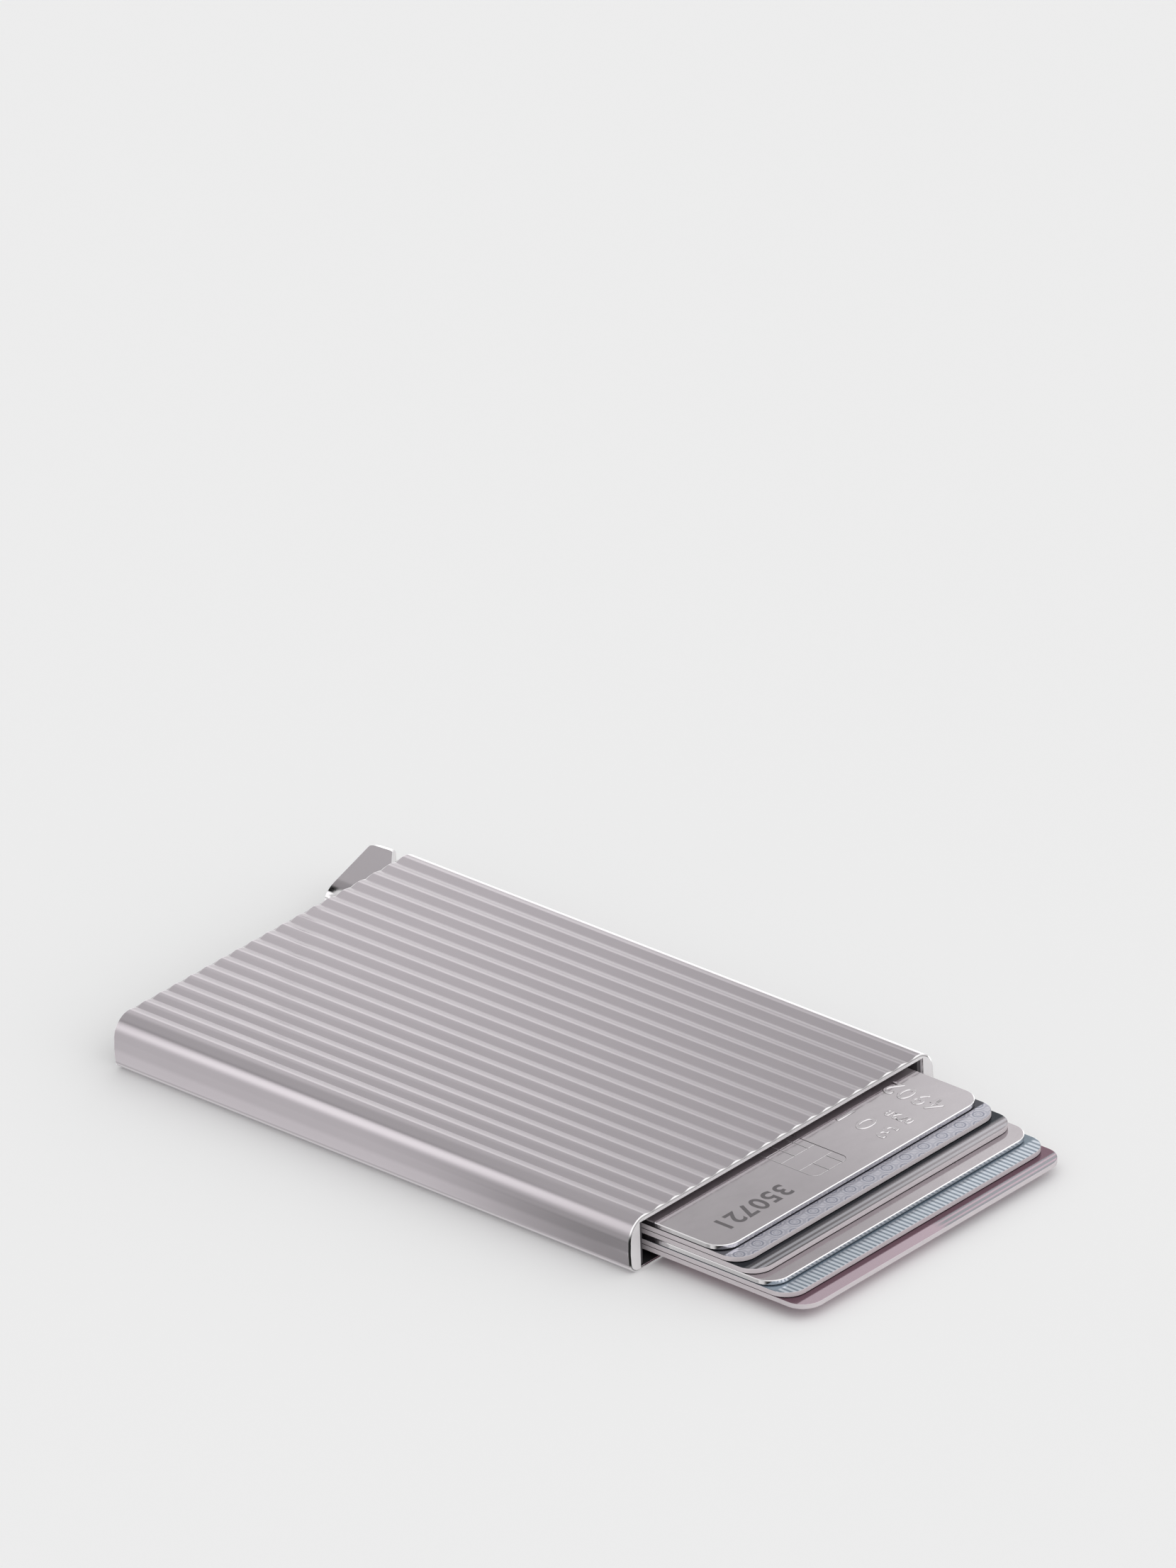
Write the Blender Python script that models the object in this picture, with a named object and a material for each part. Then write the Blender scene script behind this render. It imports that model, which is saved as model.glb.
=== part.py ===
# A pop-up card holder lying flat: a ribbed metal tube, a corner lever and six cards.
# Metres, +Z up. The tube's underside is z = 0 and its centre is the origin. The mouth,
# where the cards come out, faces -Y, and the lever is at the far end, on the +X side.
# The lever has been swung home, so the cards stand out of the mouth in a fan.

import math

import bmesh
import bpy
from mathutils import Matrix, Vector

MM = 0.001

# The cards, of the common bank card size, and the room that they have in the tube
CARD_COUNT = 6
CARD_LENGTH = 85.6 * MM
CARD_WIDTH = 53.98 * MM
CARD_THICKNESS = 0.76 * MM
CARD_CORNER = 3.18 * MM
CARD_AIR = 0.05 * MM
CARD_SIDE_ROOM = 2.11 * MM
CARD_END_ROOM = 7.8 * MM
CARD_HEADROOM = 0.6 * MM
CARD_FLOOR_ROOM = 1.19 * MM

# How far the lever sends the top card out, and how much further each card below it
TOP_CARD_TRAVEL = 12.8 * MM
CARD_FAN_STEP = 2.9 * MM

# The housing tube, a metal extrusion with ribs along its top, made to the cards' size
SIDE_WALL = 2.4 * MM
FLOOR_WALL = 0.5 * MM
ROOF_WALL = 0.9 * MM
RIB_COUNT = 17
RIB_SLOPE = math.radians(14.0)
RIB_CREST_RADIUS = 2.6 * MM
SHOULDER_RADIUS = 3.26 * MM
SIDE_BULGE = 0.07 * MM
FOOT_RADIUS = 1.8 * MM
END_CHAMFER = 0.3 * MM
END_CHAMFER_DEPTH = 0.2 * MM
END_GROOVE_DROP = 0.05 * MM
MOUTH_INNER_CHAMFER = 0.15 * MM

# The contact plate let into the top card
CHIP_WIDTH = 7.0 * MM
CHIP_LENGTH = 11.8 * MM
CHIP_THICKNESS = 0.22 * MM
CHIP_CORNER = 1.2 * MM
CHIP_FROM_FRONT = 3.3 * MM
CHIP_OFFSET = -0.7 * MM
CHIP_GAP = 0.05 * MM

# The lever's pin and its ejector arm
LEVER_SWING = math.radians(40.0)
PIVOT_FROM_WALL = 1.9 * MM
PIVOT_FROM_END = 1.6 * MM
PIN_RADIUS = 0.75 * MM
PIN_RUNNING_GAP = 0.05 * MM
PIN_END_GAP = 0.05 * MM
PIN_CHAMFER = 0.15 * MM
HUB_RADIUS = 1.65 * MM
HUB_BOSS = 0.15 * MM
ARM_CARD_GAP = 0.3 * MM
ARM_STEP_DROP = 0.1 * MM
ARM_STEP_INSET = 0.05 * MM
ARM_BACK = 0.4 * MM
ARM_NOSE = 0.8 * MM
ARM_ROOT_REACH = 7.0 * MM
TONGUE_WIDTH = 4.8 * MM
TONGUE_OFFSET = 1.2 * MM
TONGUE_DEPTH = 1.9 * MM
TONGUE_INSET = 1.2 * MM

# The finger tab at the end of the lever
FIN_LENGTH = 15.55 * MM
FIN_DEPTH = 7.0 * MM
FIN_SIDE_INSET = 0.95 * MM
FIN_END_GAP = 0.4 * MM
FIN_UNDERSIDE = 1.1 * MM
FIN_BELOW_TOP = 1.1 * MM
FIN_ROLL_LENGTH = 4.4 * MM
FIN_ROLL_RADIUS = 10.5 * MM
FIN_HEEL_RADIUS = 1.4 * MM
FIN_EDGE = 0.12 * MM
FIN_RIM_WIDTH = 0.75 * MM
FIN_RIM_DROP = 0.2 * MM
TONGUE_FIT = 0.1 * MM

# The frame that closes the far end and carries the pin
FRAME_FIT = 0.1 * MM
FRAME_WALL = 0.75 * MM
FRAME_RECESS = 0.15 * MM
FRAME_FLANGE_DEPTH = 4.6 * MM
FRAME_FLOOR = 0.6 * MM
FRAME_ROOF = 0.45 * MM
FRAME_ROOF_OVERLAP = 4.0 * MM
FRAME_OPENING_GAP = 0.6 * MM
FRAME_HUB_GAP = 0.1 * MM

# The strips and pads that line the tube
LINER_THICKNESS = 0.6 * MM
LINER_FIT = 0.05 * MM
LINER_SET_BACK = 0.4 * MM
LINER_SHORT_OF_PIVOT = 4.6 * MM
PAD_CARD_GAP = 0.15 * MM
PAD_SET_BACK = 3.0 * MM
PAD_LENGTH = 30.0 * MM
PAD_SHORT = 0.3 * MM
FLOOR_PAD_SIDE_INSET = 3.0 * MM
FLOOR_PAD_SET_BACK = 1.2 * MM
FLOOR_PAD_ARM_ROOM = 5.0 * MM
FLOOR_PAD_GAP = 0.1 * MM

# How far a cutter runs past what it cuts
OVERRUN = 1.0 * MM

# Segments on curves
RIB_STEPS = 6
CORNER_STEPS = 8
ROUND_STEPS = 32
INVOLUTE_STEPS = 14
SHARP_ANGLE = math.radians(35.0)

# Corners of the tab seen from above, as shares of its length from its narrow end and of its
# depth from the tube, each with a fillet as a share of its depth
FIN_OUTLINE_SHARES = (
    (-0.04, 0.000, 0.02),
    (0.772, 0.000, 0.13),
    (1.003, 0.424, 0.20),
    (0.977, 1.000, 0.17),
    (-0.04, 0.330, 0.02),
)

# Sizes and places worked out from those above
CARD_PITCH = CARD_THICKNESS + CARD_AIR
STACK_HEIGHT = CARD_COUNT * CARD_PITCH - CARD_AIR
TUBE_WIDTH = CARD_WIDTH + 2 * (CARD_SIDE_ROOM + SIDE_WALL)
TUBE_LENGTH = CARD_LENGTH + CARD_END_ROOM
STACK_BOTTOM = FLOOR_WALL + CARD_FLOOR_ROOM
STACK_TOP = STACK_BOTTOM + STACK_HEIGHT
TUBE_HEIGHT = STACK_TOP + CARD_HEADROOM + ROOF_WALL
MOUTH_Y = -TUBE_LENGTH / 2
END_Y = TUBE_LENGTH / 2
CAVITY_X = TUBE_WIDTH / 2 - SIDE_WALL
CAVITY_LOW = FLOOR_WALL
CAVITY_HIGH = TUBE_HEIGHT - ROOF_WALL
SHOULDER_X = TUBE_WIDTH / 2 - SIDE_BULGE - SHOULDER_RADIUS
RIB_PITCH = SHOULDER_X / ((RIB_COUNT + 1) / 2)
CARD_REAR_HOME = MOUTH_Y + CARD_LENGTH
PIVOT = Vector((CAVITY_X - PIVOT_FROM_WALL, END_Y - PIVOT_FROM_END, 0))
ARM_EDGE = PIVOT.y - CARD_REAR_HOME - ARM_CARD_GAP
FRAME_LOW = CAVITY_LOW + FRAME_FIT
FRAME_HIGH = CAVITY_HIGH - FRAME_FIT
HUB_LOW = FRAME_LOW + FRAME_FLOOR + FRAME_HUB_GAP
HUB_HIGH = FRAME_HIGH - FRAME_ROOF - FRAME_HUB_GAP
LINER_X = CAVITY_X - LINER_FIT - LINER_THICKNESS
FIN_TOP = TUBE_HEIGHT - FIN_BELOW_TOP


def card_top(index):
    """The height of a card's upper face. Card 0 is the top one."""
    return STACK_TOP - index * CARD_PITCH


def card_travel(index):
    """How far out of the mouth the lever sends a card."""
    return TOP_CARD_TRAVEL + index * CARD_FAN_STEP


def arc(centre, radius, start, end, steps):
    """Points along a circle from one angle to another, both ends included."""
    angles = [start + (end - start) * i / steps for i in range(steps + 1)]
    return [(centre[0] + radius * math.cos(a), centre[1] + radius * math.sin(a)) for a in angles]


def circle(centre, radius, steps=ROUND_STEPS):
    """A closed circle, without its first point twice."""
    return arc(centre, radius, 0, math.tau, steps)[:-1]


def rectangle(low_x, high_x, low_y, high_y):
    """A rectangle's four corners."""
    return [(low_x, low_y), (high_x, low_y), (high_x, high_y), (low_x, high_y)]


def filleted(corners, steps=CORNER_STEPS):
    """An outline with each corner (x, y, radius) rounded."""
    points = []
    for i, (x, y, radius) in enumerate(corners):
        here = Vector((x, y))
        before = (Vector(corners[i - 1][:2]) - here).normalized()
        after = (Vector(corners[(i + 1) % len(corners)][:2]) - here).normalized()
        half = before.angle(after) / 2
        centre = here + (before + after).normalized() * radius / math.sin(half)
        start = here + before * radius / math.tan(half) - centre
        end = here + after * radius / math.tan(half) - centre
        turn = start.angle_signed(end)
        first = math.atan2(start.y, start.x)
        points += arc(centre, radius, first, first - turn, steps)
    return points


def rounded_rectangle(width, length, radius):
    """A rectangle with round corners, centred on the origin."""
    corners = rectangle(-width / 2, width / 2, -length / 2, length / 2)
    return filleted([(x, y, radius) for x, y in corners])


def flat_ring(outline, height):
    """An outline lying level at a height."""
    return [(x, y, height) for x, y in outline]


def upright_ring(outline, y):
    """An outline of (x, z) points standing across the tube."""
    return [(x, y, z) for x, z in outline]


def inset(outline, distance):
    """An outline moved inward by a distance, corner by corner."""
    moved = []
    for i, point in enumerate(outline):
        here = Vector(point)
        along_in = (here - Vector(outline[i - 1])).normalized()
        along_out = (Vector(outline[(i + 1) % len(outline)]) - here).normalized()
        normal = Vector((-along_in.y - along_out.y, along_in.x + along_out.x)).normalized()
        lean = normal.dot(Vector((-along_in.y, along_in.x)))
        moved.append(tuple(here + normal * distance / lean))
    return moved


def material(name, colour, roughness, metallic=0.0):
    """A Principled material."""
    made = bpy.data.materials.new(name)
    made.use_nodes = True
    shader = made.node_tree.nodes["Principled BSDF"]
    shader.inputs["Base Color"].default_value = (*colour, 1)
    shader.inputs["Roughness"].default_value = roughness
    shader.inputs["Metallic"].default_value = metallic
    made.diffuse_color = (*colour, 1)
    return made


def solid(name, rings, finish=None, at=(0, 0, 0), turn=0.0):
    """A closed body through rings of equal length, with its two ends capped."""
    bm = bmesh.new()
    loops = [[bm.verts.new(point) for point in ring] for ring in rings]
    for low, high in zip(loops, loops[1:]):
        for i in range(len(low)):
            bm.faces.new((low[i - 1], low[i], high[i], high[i - 1]))
    bm.faces.new(loops[0])
    bm.faces.new(loops[-1])
    bmesh.ops.recalc_face_normals(bm, faces=bm.faces)
    mesh = bpy.data.meshes.new(name)
    bm.to_mesh(mesh)
    bm.free()
    mesh.shade_smooth()
    mesh.set_sharp_from_angle(angle=SHARP_ANGLE)
    made = bpy.data.objects.new(name, mesh)
    bpy.context.scene.collection.objects.link(made)
    made.location = at
    made.rotation_euler.z = turn
    if finish:
        mesh.materials.append(finish)
    return made


def prism(name, outline, low, high, finish=None, at=(0, 0, 0), turn=0.0):
    """An outline extruded straight up from one height to another."""
    return solid(name, [flat_ring(outline, low), flat_ring(outline, high)], finish, at, turn)


def combine(target, tool, operation):
    """Cut a tool from a piece, or join it on, and hide the tool."""
    boolean = target.modifiers.new(tool.name, "BOOLEAN")
    boolean.operation = operation
    boolean.solver = "EXACT"
    boolean.object = tool
    tool.hide_render = True
    tool.display_type = "WIRE"


def rib_outline(x):
    """A rib's section up to its far flank: the groove's bottom, then the round crest."""
    up = math.pi / 2
    centre = (x, TUBE_HEIGHT - RIB_CREST_RADIUS)
    crest = arc(centre, RIB_CREST_RADIUS, up + RIB_SLOPE, up - RIB_SLOPE, RIB_STEPS)
    run = x - RIB_PITCH / 2
    groove = crest[0][1] - (crest[0][0] - run) * math.tan(RIB_SLOPE)
    return [(run, groove)] + crest


def tube_outline():
    """The tube's outer section: ribs over the top, round shoulders, bowed sides, flat foot."""
    up = math.pi / 2
    points = []
    for i in range(RIB_COUNT):
        points += rib_outline((i - (RIB_COUNT - 1) / 2) * RIB_PITCH)
    rising = len(rib_outline(SHOULDER_X)) // 2
    shoulder_z = TUBE_HEIGHT - SHOULDER_RADIUS
    half = rib_outline(SHOULDER_X)[:rising]
    half += arc((SHOULDER_X, shoulder_z), SHOULDER_RADIUS, up, 0, 2 * CORNER_STEPS)
    side_x = SHOULDER_X + SHOULDER_RADIUS
    for i in range(1, CORNER_STEPS):
        share = i / CORNER_STEPS
        bow = SIDE_BULGE * math.sin(math.pi * share) ** 2
        half.append((side_x + bow, shoulder_z + (FOOT_RADIUS - shoulder_z) * share))
    half += arc((side_x - FOOT_RADIUS, FOOT_RADIUS), FOOT_RADIUS, 0, -up, CORNER_STEPS)
    mirrored = [(-x, z) for x, z in reversed(half)]
    return (points + half + mirrored[:-1])[::-1]


def end_rings(outer):
    """A cut end's two rings, with the ribs' tops bevelled off down to their grooves.

    Each point is (x, depth into the tube, z). The first ring is the cut face's outline.
    """
    level = min(z for x, z in outer if abs(x) < SHOULDER_X) - END_GROOVE_DROP
    face, bevel_top = [], []
    for (x, z), (eased_x, eased_z) in zip(outer, inset(outer, END_CHAMFER)):
        if abs(x) < SHOULDER_X:
            face.append((x, 0, level))
            bevel_top.append((x, END_CHAMFER_DEPTH * (z - level) / (TUBE_HEIGHT - level), z))
        else:
            face.append((eased_x, 0, min(eased_z, level)))
            bevel_top.append((x, END_CHAMFER_DEPTH, z))
    return face, bevel_top


def make_tube():
    """The ribbed tube, with its edges broken at both cut ends."""
    face, bevel_top = end_rings(tube_outline())
    rings = [
        [(x, MOUTH_Y + depth, z) for x, depth, z in face],
        [(x, MOUTH_Y + depth, z) for x, depth, z in bevel_top],
        [(x, END_Y - depth, z) for x, depth, z in bevel_top],
        [(x, END_Y - depth, z) for x, depth, z in face],
    ]
    tube = solid("housing_tube", rings, material("anodised_tube", (0.62, 0.57, 0.59), 0.3, 1.0))
    section = rectangle(-CAVITY_X, CAVITY_X, CAVITY_LOW, CAVITY_HIGH)
    flared = inset(section, -MOUTH_INNER_CHAMFER)
    cavity = [
        upright_ring(flared, MOUTH_Y - OVERRUN),
        upright_ring(flared, MOUTH_Y),
        upright_ring(section, MOUTH_Y + MOUTH_INNER_CHAMFER),
        upright_ring(section, END_Y + OVERRUN),
    ]
    combine(tube, solid("tube_cavity", cavity), "DIFFERENCE")


def box(name, x, y, z, finish=None):
    """A plain block between two values on each axis."""
    return prism(name, rectangle(*x, *y), *z, finish)


def make_rear_frame():
    """The moulded end: a wall with the lever's opening, and a flange above and below the hub."""
    side = CAVITY_X - FRAME_FIT
    back = END_Y - FRAME_RECESS
    opening = PIVOT.x - TONGUE_OFFSET - TONGUE_WIDTH - FRAME_OPENING_GAP
    wall_y = (back - FRAME_WALL, back)
    flange_y = (back - FRAME_FLANGE_DEPTH, back)
    plastic = material("frame_plastic", (0.02, 0.02, 0.022), 0.5)
    frame = box("rear_frame", (-side, opening), wall_y, (FRAME_LOW, FRAME_HIGH), plastic)
    floor = box("frame_floor", (-side, side), flange_y, (FRAME_LOW, FRAME_LOW + FRAME_FLOOR))
    roof_x = (opening - FRAME_ROOF_OVERLAP, side)
    roof = box("frame_roof", roof_x, flange_y, (FRAME_HIGH - FRAME_ROOF, FRAME_HIGH))
    combine(frame, floor, "UNION")
    combine(frame, roof, "UNION")
    hole = circle(PIVOT, PIN_RADIUS + PIN_RUNNING_GAP)
    combine(frame, prism("frame_pin_hole", hole, -OVERRUN, TUBE_HEIGHT + OVERRUN), "DIFFERENCE")


def make_pivot_pin():
    """The steel pin, with its ends broken."""
    low = FRAME_LOW + PIN_END_GAP
    high = FRAME_HIGH - PIN_END_GAP
    full = circle((0, 0), PIN_RADIUS)
    eased = circle((0, 0), PIN_RADIUS - PIN_CHAMFER)
    rings = [
        flat_ring(eased, low),
        flat_ring(full, low + PIN_CHAMFER),
        flat_ring(full, high - PIN_CHAMFER),
        flat_ring(eased, high),
    ]
    solid("pivot_pin", rings, material("pin_steel", (0.7, 0.7, 0.7), 0.25, 1.0), PIVOT)


def arm_outline(index):
    """One step of the ejector arm with the lever open, seen from the pivot.

    Its working edge is the involute of a circle, so it pushes its card evenly: the circle's
    radius is the card's travel for each radian that the lever turns.
    """
    radius = card_travel(index) / LEVER_SWING
    start = ARM_EDGE / radius
    edge = []
    for i in range(INVOLUTE_STEPS + 1):
        t = start + LEVER_SWING * i / INVOLUTE_STEPS
        point = Vector((math.cos(t) + t * math.sin(t), math.sin(t) - t * math.cos(t)))
        point.rotate(Matrix.Rotation(-start, 2))
        edge.append((-radius * point.x, radius * point.y))
    inside = (CARD_COUNT - 1 - index) * ARM_STEP_INSET
    root = [(-inside, inside - HUB_RADIUS / 2), (-ARM_ROOT_REACH, inside - ARM_EDGE)]
    back = ARM_BACK - inside
    return root + edge + [(edge[-1][0] + ARM_NOSE, back), (-inside, back)]


def make_lever_arm():
    """The ejector arm: one step for each card, the hub, and the tongue that holds the tab."""
    rings = []
    low = HUB_LOW + HUB_BOSS
    for index in reversed(range(CARD_COUNT)):
        high = card_top(index) - ARM_STEP_DROP
        outline = arm_outline(index)
        rings += [flat_ring(outline, low), flat_ring(outline, high)]
        low = high
    plastic = material("arm_plastic", (0.03, 0.03, 0.033), 0.45)
    arm = solid("lever_arm", rings, plastic, PIVOT, LEVER_SWING)
    hub = circle((0, 0), HUB_RADIUS)
    bore = circle((0, 0), PIN_RADIUS + PIN_RUNNING_GAP)
    through = (-OVERRUN, TUBE_HEIGHT + OVERRUN)
    combine(arm, prism("arm_hub", hub, HUB_LOW, HUB_HIGH, None, PIVOT), "UNION")
    combine(arm, tongue("arm_tongue", 0), "UNION")
    combine(arm, prism("arm_bore", bore, *through, None, PIVOT), "DIFFERENCE")


def tongue(name, fit):
    """The tongue between hub and tab, or with a fit the pocket that it leaves in the tab."""
    high_x = PIVOT.x - TONGUE_OFFSET + fit
    low_x = high_x - TONGUE_WIDTH - 2 * fit
    low_z = HUB_LOW + TONGUE_INSET - fit
    high_z = HUB_HIGH - TONGUE_INSET + fit
    end_y = END_Y + FIN_END_GAP + TONGUE_DEPTH + fit
    return box(name, (low_x, high_x), (PIVOT.y, end_y), (low_z, high_z))


def make_lever_fin():
    """The metal finger tab: a broken top edge, wide at its outer end, and a rolled narrow end."""
    left = TUBE_WIDTH / 2 - FIN_SIDE_INSET - FIN_LENGTH
    front = END_Y + FIN_END_GAP
    outline = filleted([
        (left + x * FIN_LENGTH - PIVOT.x, front + y * FIN_DEPTH - PIVOT.y, r * FIN_DEPTH)
        for x, y, r in FIN_OUTLINE_SHARES
    ])
    low_ring = inset(outline, FIN_EDGE)
    top_ring = []
    for point, inner in zip(outline, low_ring):
        outward = (Vector(point) - Vector(inner)).normalized()
        width = FIN_EDGE + (FIN_RIM_WIDTH - FIN_EDGE) * max(outward.x, 0)
        top_ring.append(tuple(Vector(point) - outward * width))
    rings = [
        flat_ring(low_ring, FIN_UNDERSIDE),
        flat_ring(outline, FIN_UNDERSIDE + FIN_EDGE),
        flat_ring(outline, FIN_TOP - FIN_RIM_DROP),
        flat_ring(top_ring, FIN_TOP),
    ]
    fin = solid("lever_fin", rings, material("fin_metal", (0.6, 0.56, 0.58), 0.3, 1.0), PIVOT)
    combine(fin, roll_cutter(left), "DIFFERENCE")
    combine(fin, tongue("fin_pocket", TONGUE_FIT), "DIFFERENCE")


def roll_cutter(left):
    """What the tab's narrow end loses: all that lies over its roll and round its heel."""
    up = math.pi / 2
    start = left + FIN_ROLL_LENGTH
    reach = FIN_ROLL_RADIUS - FIN_HEEL_RADIUS
    turn = math.asin((FIN_ROLL_LENGTH - FIN_HEEL_RADIUS) / reach)
    roll_centre = (start, FIN_TOP - FIN_ROLL_RADIUS)
    heel_centre = (left + FIN_HEEL_RADIUS, roll_centre[1] + reach * math.cos(turn))
    curve = arc(roll_centre, FIN_ROLL_RADIUS, up, up + turn, 2 * CORNER_STEPS)
    curve += arc(heel_centre, FIN_HEEL_RADIUS, up + turn, 2 * up, CORNER_STEPS)[1:]
    away, low, high = left - 2 * OVERRUN, FIN_UNDERSIDE - OVERRUN, FIN_TOP + OVERRUN
    around = [(left, low), (away, low), (away, high), (start, high)]
    across = (END_Y - OVERRUN, END_Y + FIN_END_GAP + FIN_DEPTH + OVERRUN)
    return solid("fin_roll", [upright_ring(curve + around, y) for y in across])


def make_liners():
    """A thin dark strip on each inner side wall, and a soft pad on each that grips the cards."""
    strip = material("liner_strip", (0.05, 0.045, 0.05), 0.6)
    soft = material("pad_rubber", (0.03, 0.03, 0.03), 0.8)
    liner_y = (MOUTH_Y + LINER_SET_BACK, PIVOT.y - LINER_SHORT_OF_PIVOT)
    liner_z = (CAVITY_LOW + LINER_FIT, CAVITY_HIGH - LINER_FIT)
    pad_y = (MOUTH_Y + PAD_SET_BACK, MOUTH_Y + PAD_SET_BACK + PAD_LENGTH)
    pad_z = (liner_z[0] + PAD_SHORT, liner_z[1] - PAD_SHORT)
    liner_x = (LINER_X, LINER_X + LINER_THICKNESS)
    pad_x = (CARD_WIDTH / 2 + PAD_CARD_GAP, LINER_X - LINER_FIT)
    for side, name in ((-1, "left"), (1, "right")):
        across = sorted(side * x for x in liner_x)
        box(f"liner_{name}", across, liner_y, liner_z, strip)
        across = sorted(side * x for x in pad_x)
        box(f"friction_pad_{name}", across, pad_y, pad_z, soft)


def make_floor_pad():
    """The soft strip under the stack, short of where the arm swings."""
    half = CARD_WIDTH / 2 - FLOOR_PAD_SIDE_INSET
    arm_y = CARD_REAR_HOME - card_travel(CARD_COUNT - 1)
    span_y = (MOUTH_Y + FLOOR_PAD_SET_BACK, arm_y - FLOOR_PAD_ARM_ROOM)
    span_z = (CAVITY_LOW + LINER_FIT, STACK_BOTTOM - FLOOR_PAD_GAP)
    box("floor_pad", (-half, half), span_y, span_z, material("pad_felt", (0.02, 0.02, 0.02), 0.9))


def make_card(index, finish):
    """One card, sent out as far as the lever pushes it."""
    outline = rounded_rectangle(CARD_WIDTH, CARD_LENGTH, CARD_CORNER)
    middle = MOUTH_Y - card_travel(index) + CARD_LENGTH / 2
    high = card_top(index)
    place = (0, middle, 0)
    return prism(f"card_{index + 1}", outline, high - CARD_THICKNESS, high, finish, place)


def make_cards():
    """The stack of cards, metal, printed and plain."""
    finishes = (
        ("card_metal", (0.36, 0.34, 0.35), 0.35, 0.9),
        ("card_grey_blue", (0.55, 0.55, 0.61), 0.45, 0.0),
        ("card_slate", (0.16, 0.18, 0.21), 0.45, 0.0),
        ("card_silver", (0.4, 0.38, 0.39), 0.35, 0.9),
        ("card_light_blue", (0.39, 0.51, 0.58), 0.45, 0.0),
        ("card_mauve", (0.4, 0.26, 0.3), 0.45, 0.0),
    )
    return [make_card(i, material(*finishes[i])) for i in range(CARD_COUNT)]


def make_chip(card):
    """The contact plate, flush with the top card, and the pocket that it sits in."""
    front = card.location.y - CARD_LENGTH / 2
    place = (CHIP_OFFSET, front + CHIP_FROM_FRONT + CHIP_LENGTH / 2, 0)
    low = STACK_TOP - CHIP_THICKNESS
    plate = rounded_rectangle(CHIP_WIDTH, CHIP_LENGTH, CHIP_CORNER)
    contact = material("chip_metal", (0.5, 0.47, 0.48), 0.3, 1.0)
    prism("chip_contact", plate, low, STACK_TOP, contact, place)
    around = 2 * CHIP_GAP
    room = rounded_rectangle(CHIP_WIDTH + around, CHIP_LENGTH + around, CHIP_CORNER + CHIP_GAP)
    pocket = prism("chip_pocket", room, low - CHIP_GAP, STACK_TOP + OVERRUN, None, place)
    combine(card, pocket, "DIFFERENCE")


def build():
    """The whole holder."""
    for old in list(bpy.data.objects):
        bpy.data.objects.remove(old)
    make_tube()
    make_rear_frame()
    make_pivot_pin()
    make_lever_arm()
    make_lever_fin()
    make_liners()
    make_floor_pad()
    cards = make_cards()
    make_chip(cards[0])


build()
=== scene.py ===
"""The pop-up card holder's looks: materials, fine detail, camera, floor and light."""

import math

import bmesh
import bpy
from mathutils import Matrix, Vector


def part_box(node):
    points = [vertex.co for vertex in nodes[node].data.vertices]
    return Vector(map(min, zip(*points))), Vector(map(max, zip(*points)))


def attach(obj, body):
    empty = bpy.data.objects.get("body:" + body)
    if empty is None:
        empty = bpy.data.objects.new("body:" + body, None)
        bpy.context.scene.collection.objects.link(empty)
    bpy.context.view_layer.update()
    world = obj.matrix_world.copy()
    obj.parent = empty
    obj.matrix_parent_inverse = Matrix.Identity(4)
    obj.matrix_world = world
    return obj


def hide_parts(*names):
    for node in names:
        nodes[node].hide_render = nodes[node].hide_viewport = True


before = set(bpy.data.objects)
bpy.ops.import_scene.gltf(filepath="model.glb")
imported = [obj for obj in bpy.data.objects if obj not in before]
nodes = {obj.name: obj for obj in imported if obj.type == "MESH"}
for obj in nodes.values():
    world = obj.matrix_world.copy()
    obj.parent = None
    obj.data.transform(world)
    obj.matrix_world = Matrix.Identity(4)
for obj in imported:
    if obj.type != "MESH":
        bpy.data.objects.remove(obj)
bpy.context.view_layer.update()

MM = 0.001


def box(node):
    """A node's low and high corners in millimetres."""
    return [[c / MM for c in corner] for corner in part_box(node)]


# The tube in millimetres: its box in the frame, and its walls
tube_low, tube_high = box("housing_tube")
SIDE_WALL = 2.4
FLOOR_WALL = 0.5
ROOF_WALL = 0.9

# Colours, in linear values
PINK_SILVER = (0.58, 0.54, 0.567)
TAB_SILVER = (0.32, 0.297, 0.312)
CUT_SILVER = (0.83, 0.81, 0.82)
# Painted reflection: a grey line on the tube's cut edge, as a rounded edge would mirror
CUT_PAINTED_REFLECTION = (0.34, 0.33, 0.335)
CAVITY_GREY = (0.66, 0.63, 0.65)
# Painted shade: near black low in the tube's cavity
CAVITY_PAINTED_SHADE = (0.02, 0.02, 0.022)
CARD_SILVER = (0.56, 0.525, 0.545)
LOW_CARD_SILVER = (0.54, 0.50, 0.52)
EMBOSSED_SILVER = (0.58, 0.545, 0.565)

# The middle half of a noise's range
MIDDLE = (0.25, 0.75)


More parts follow.
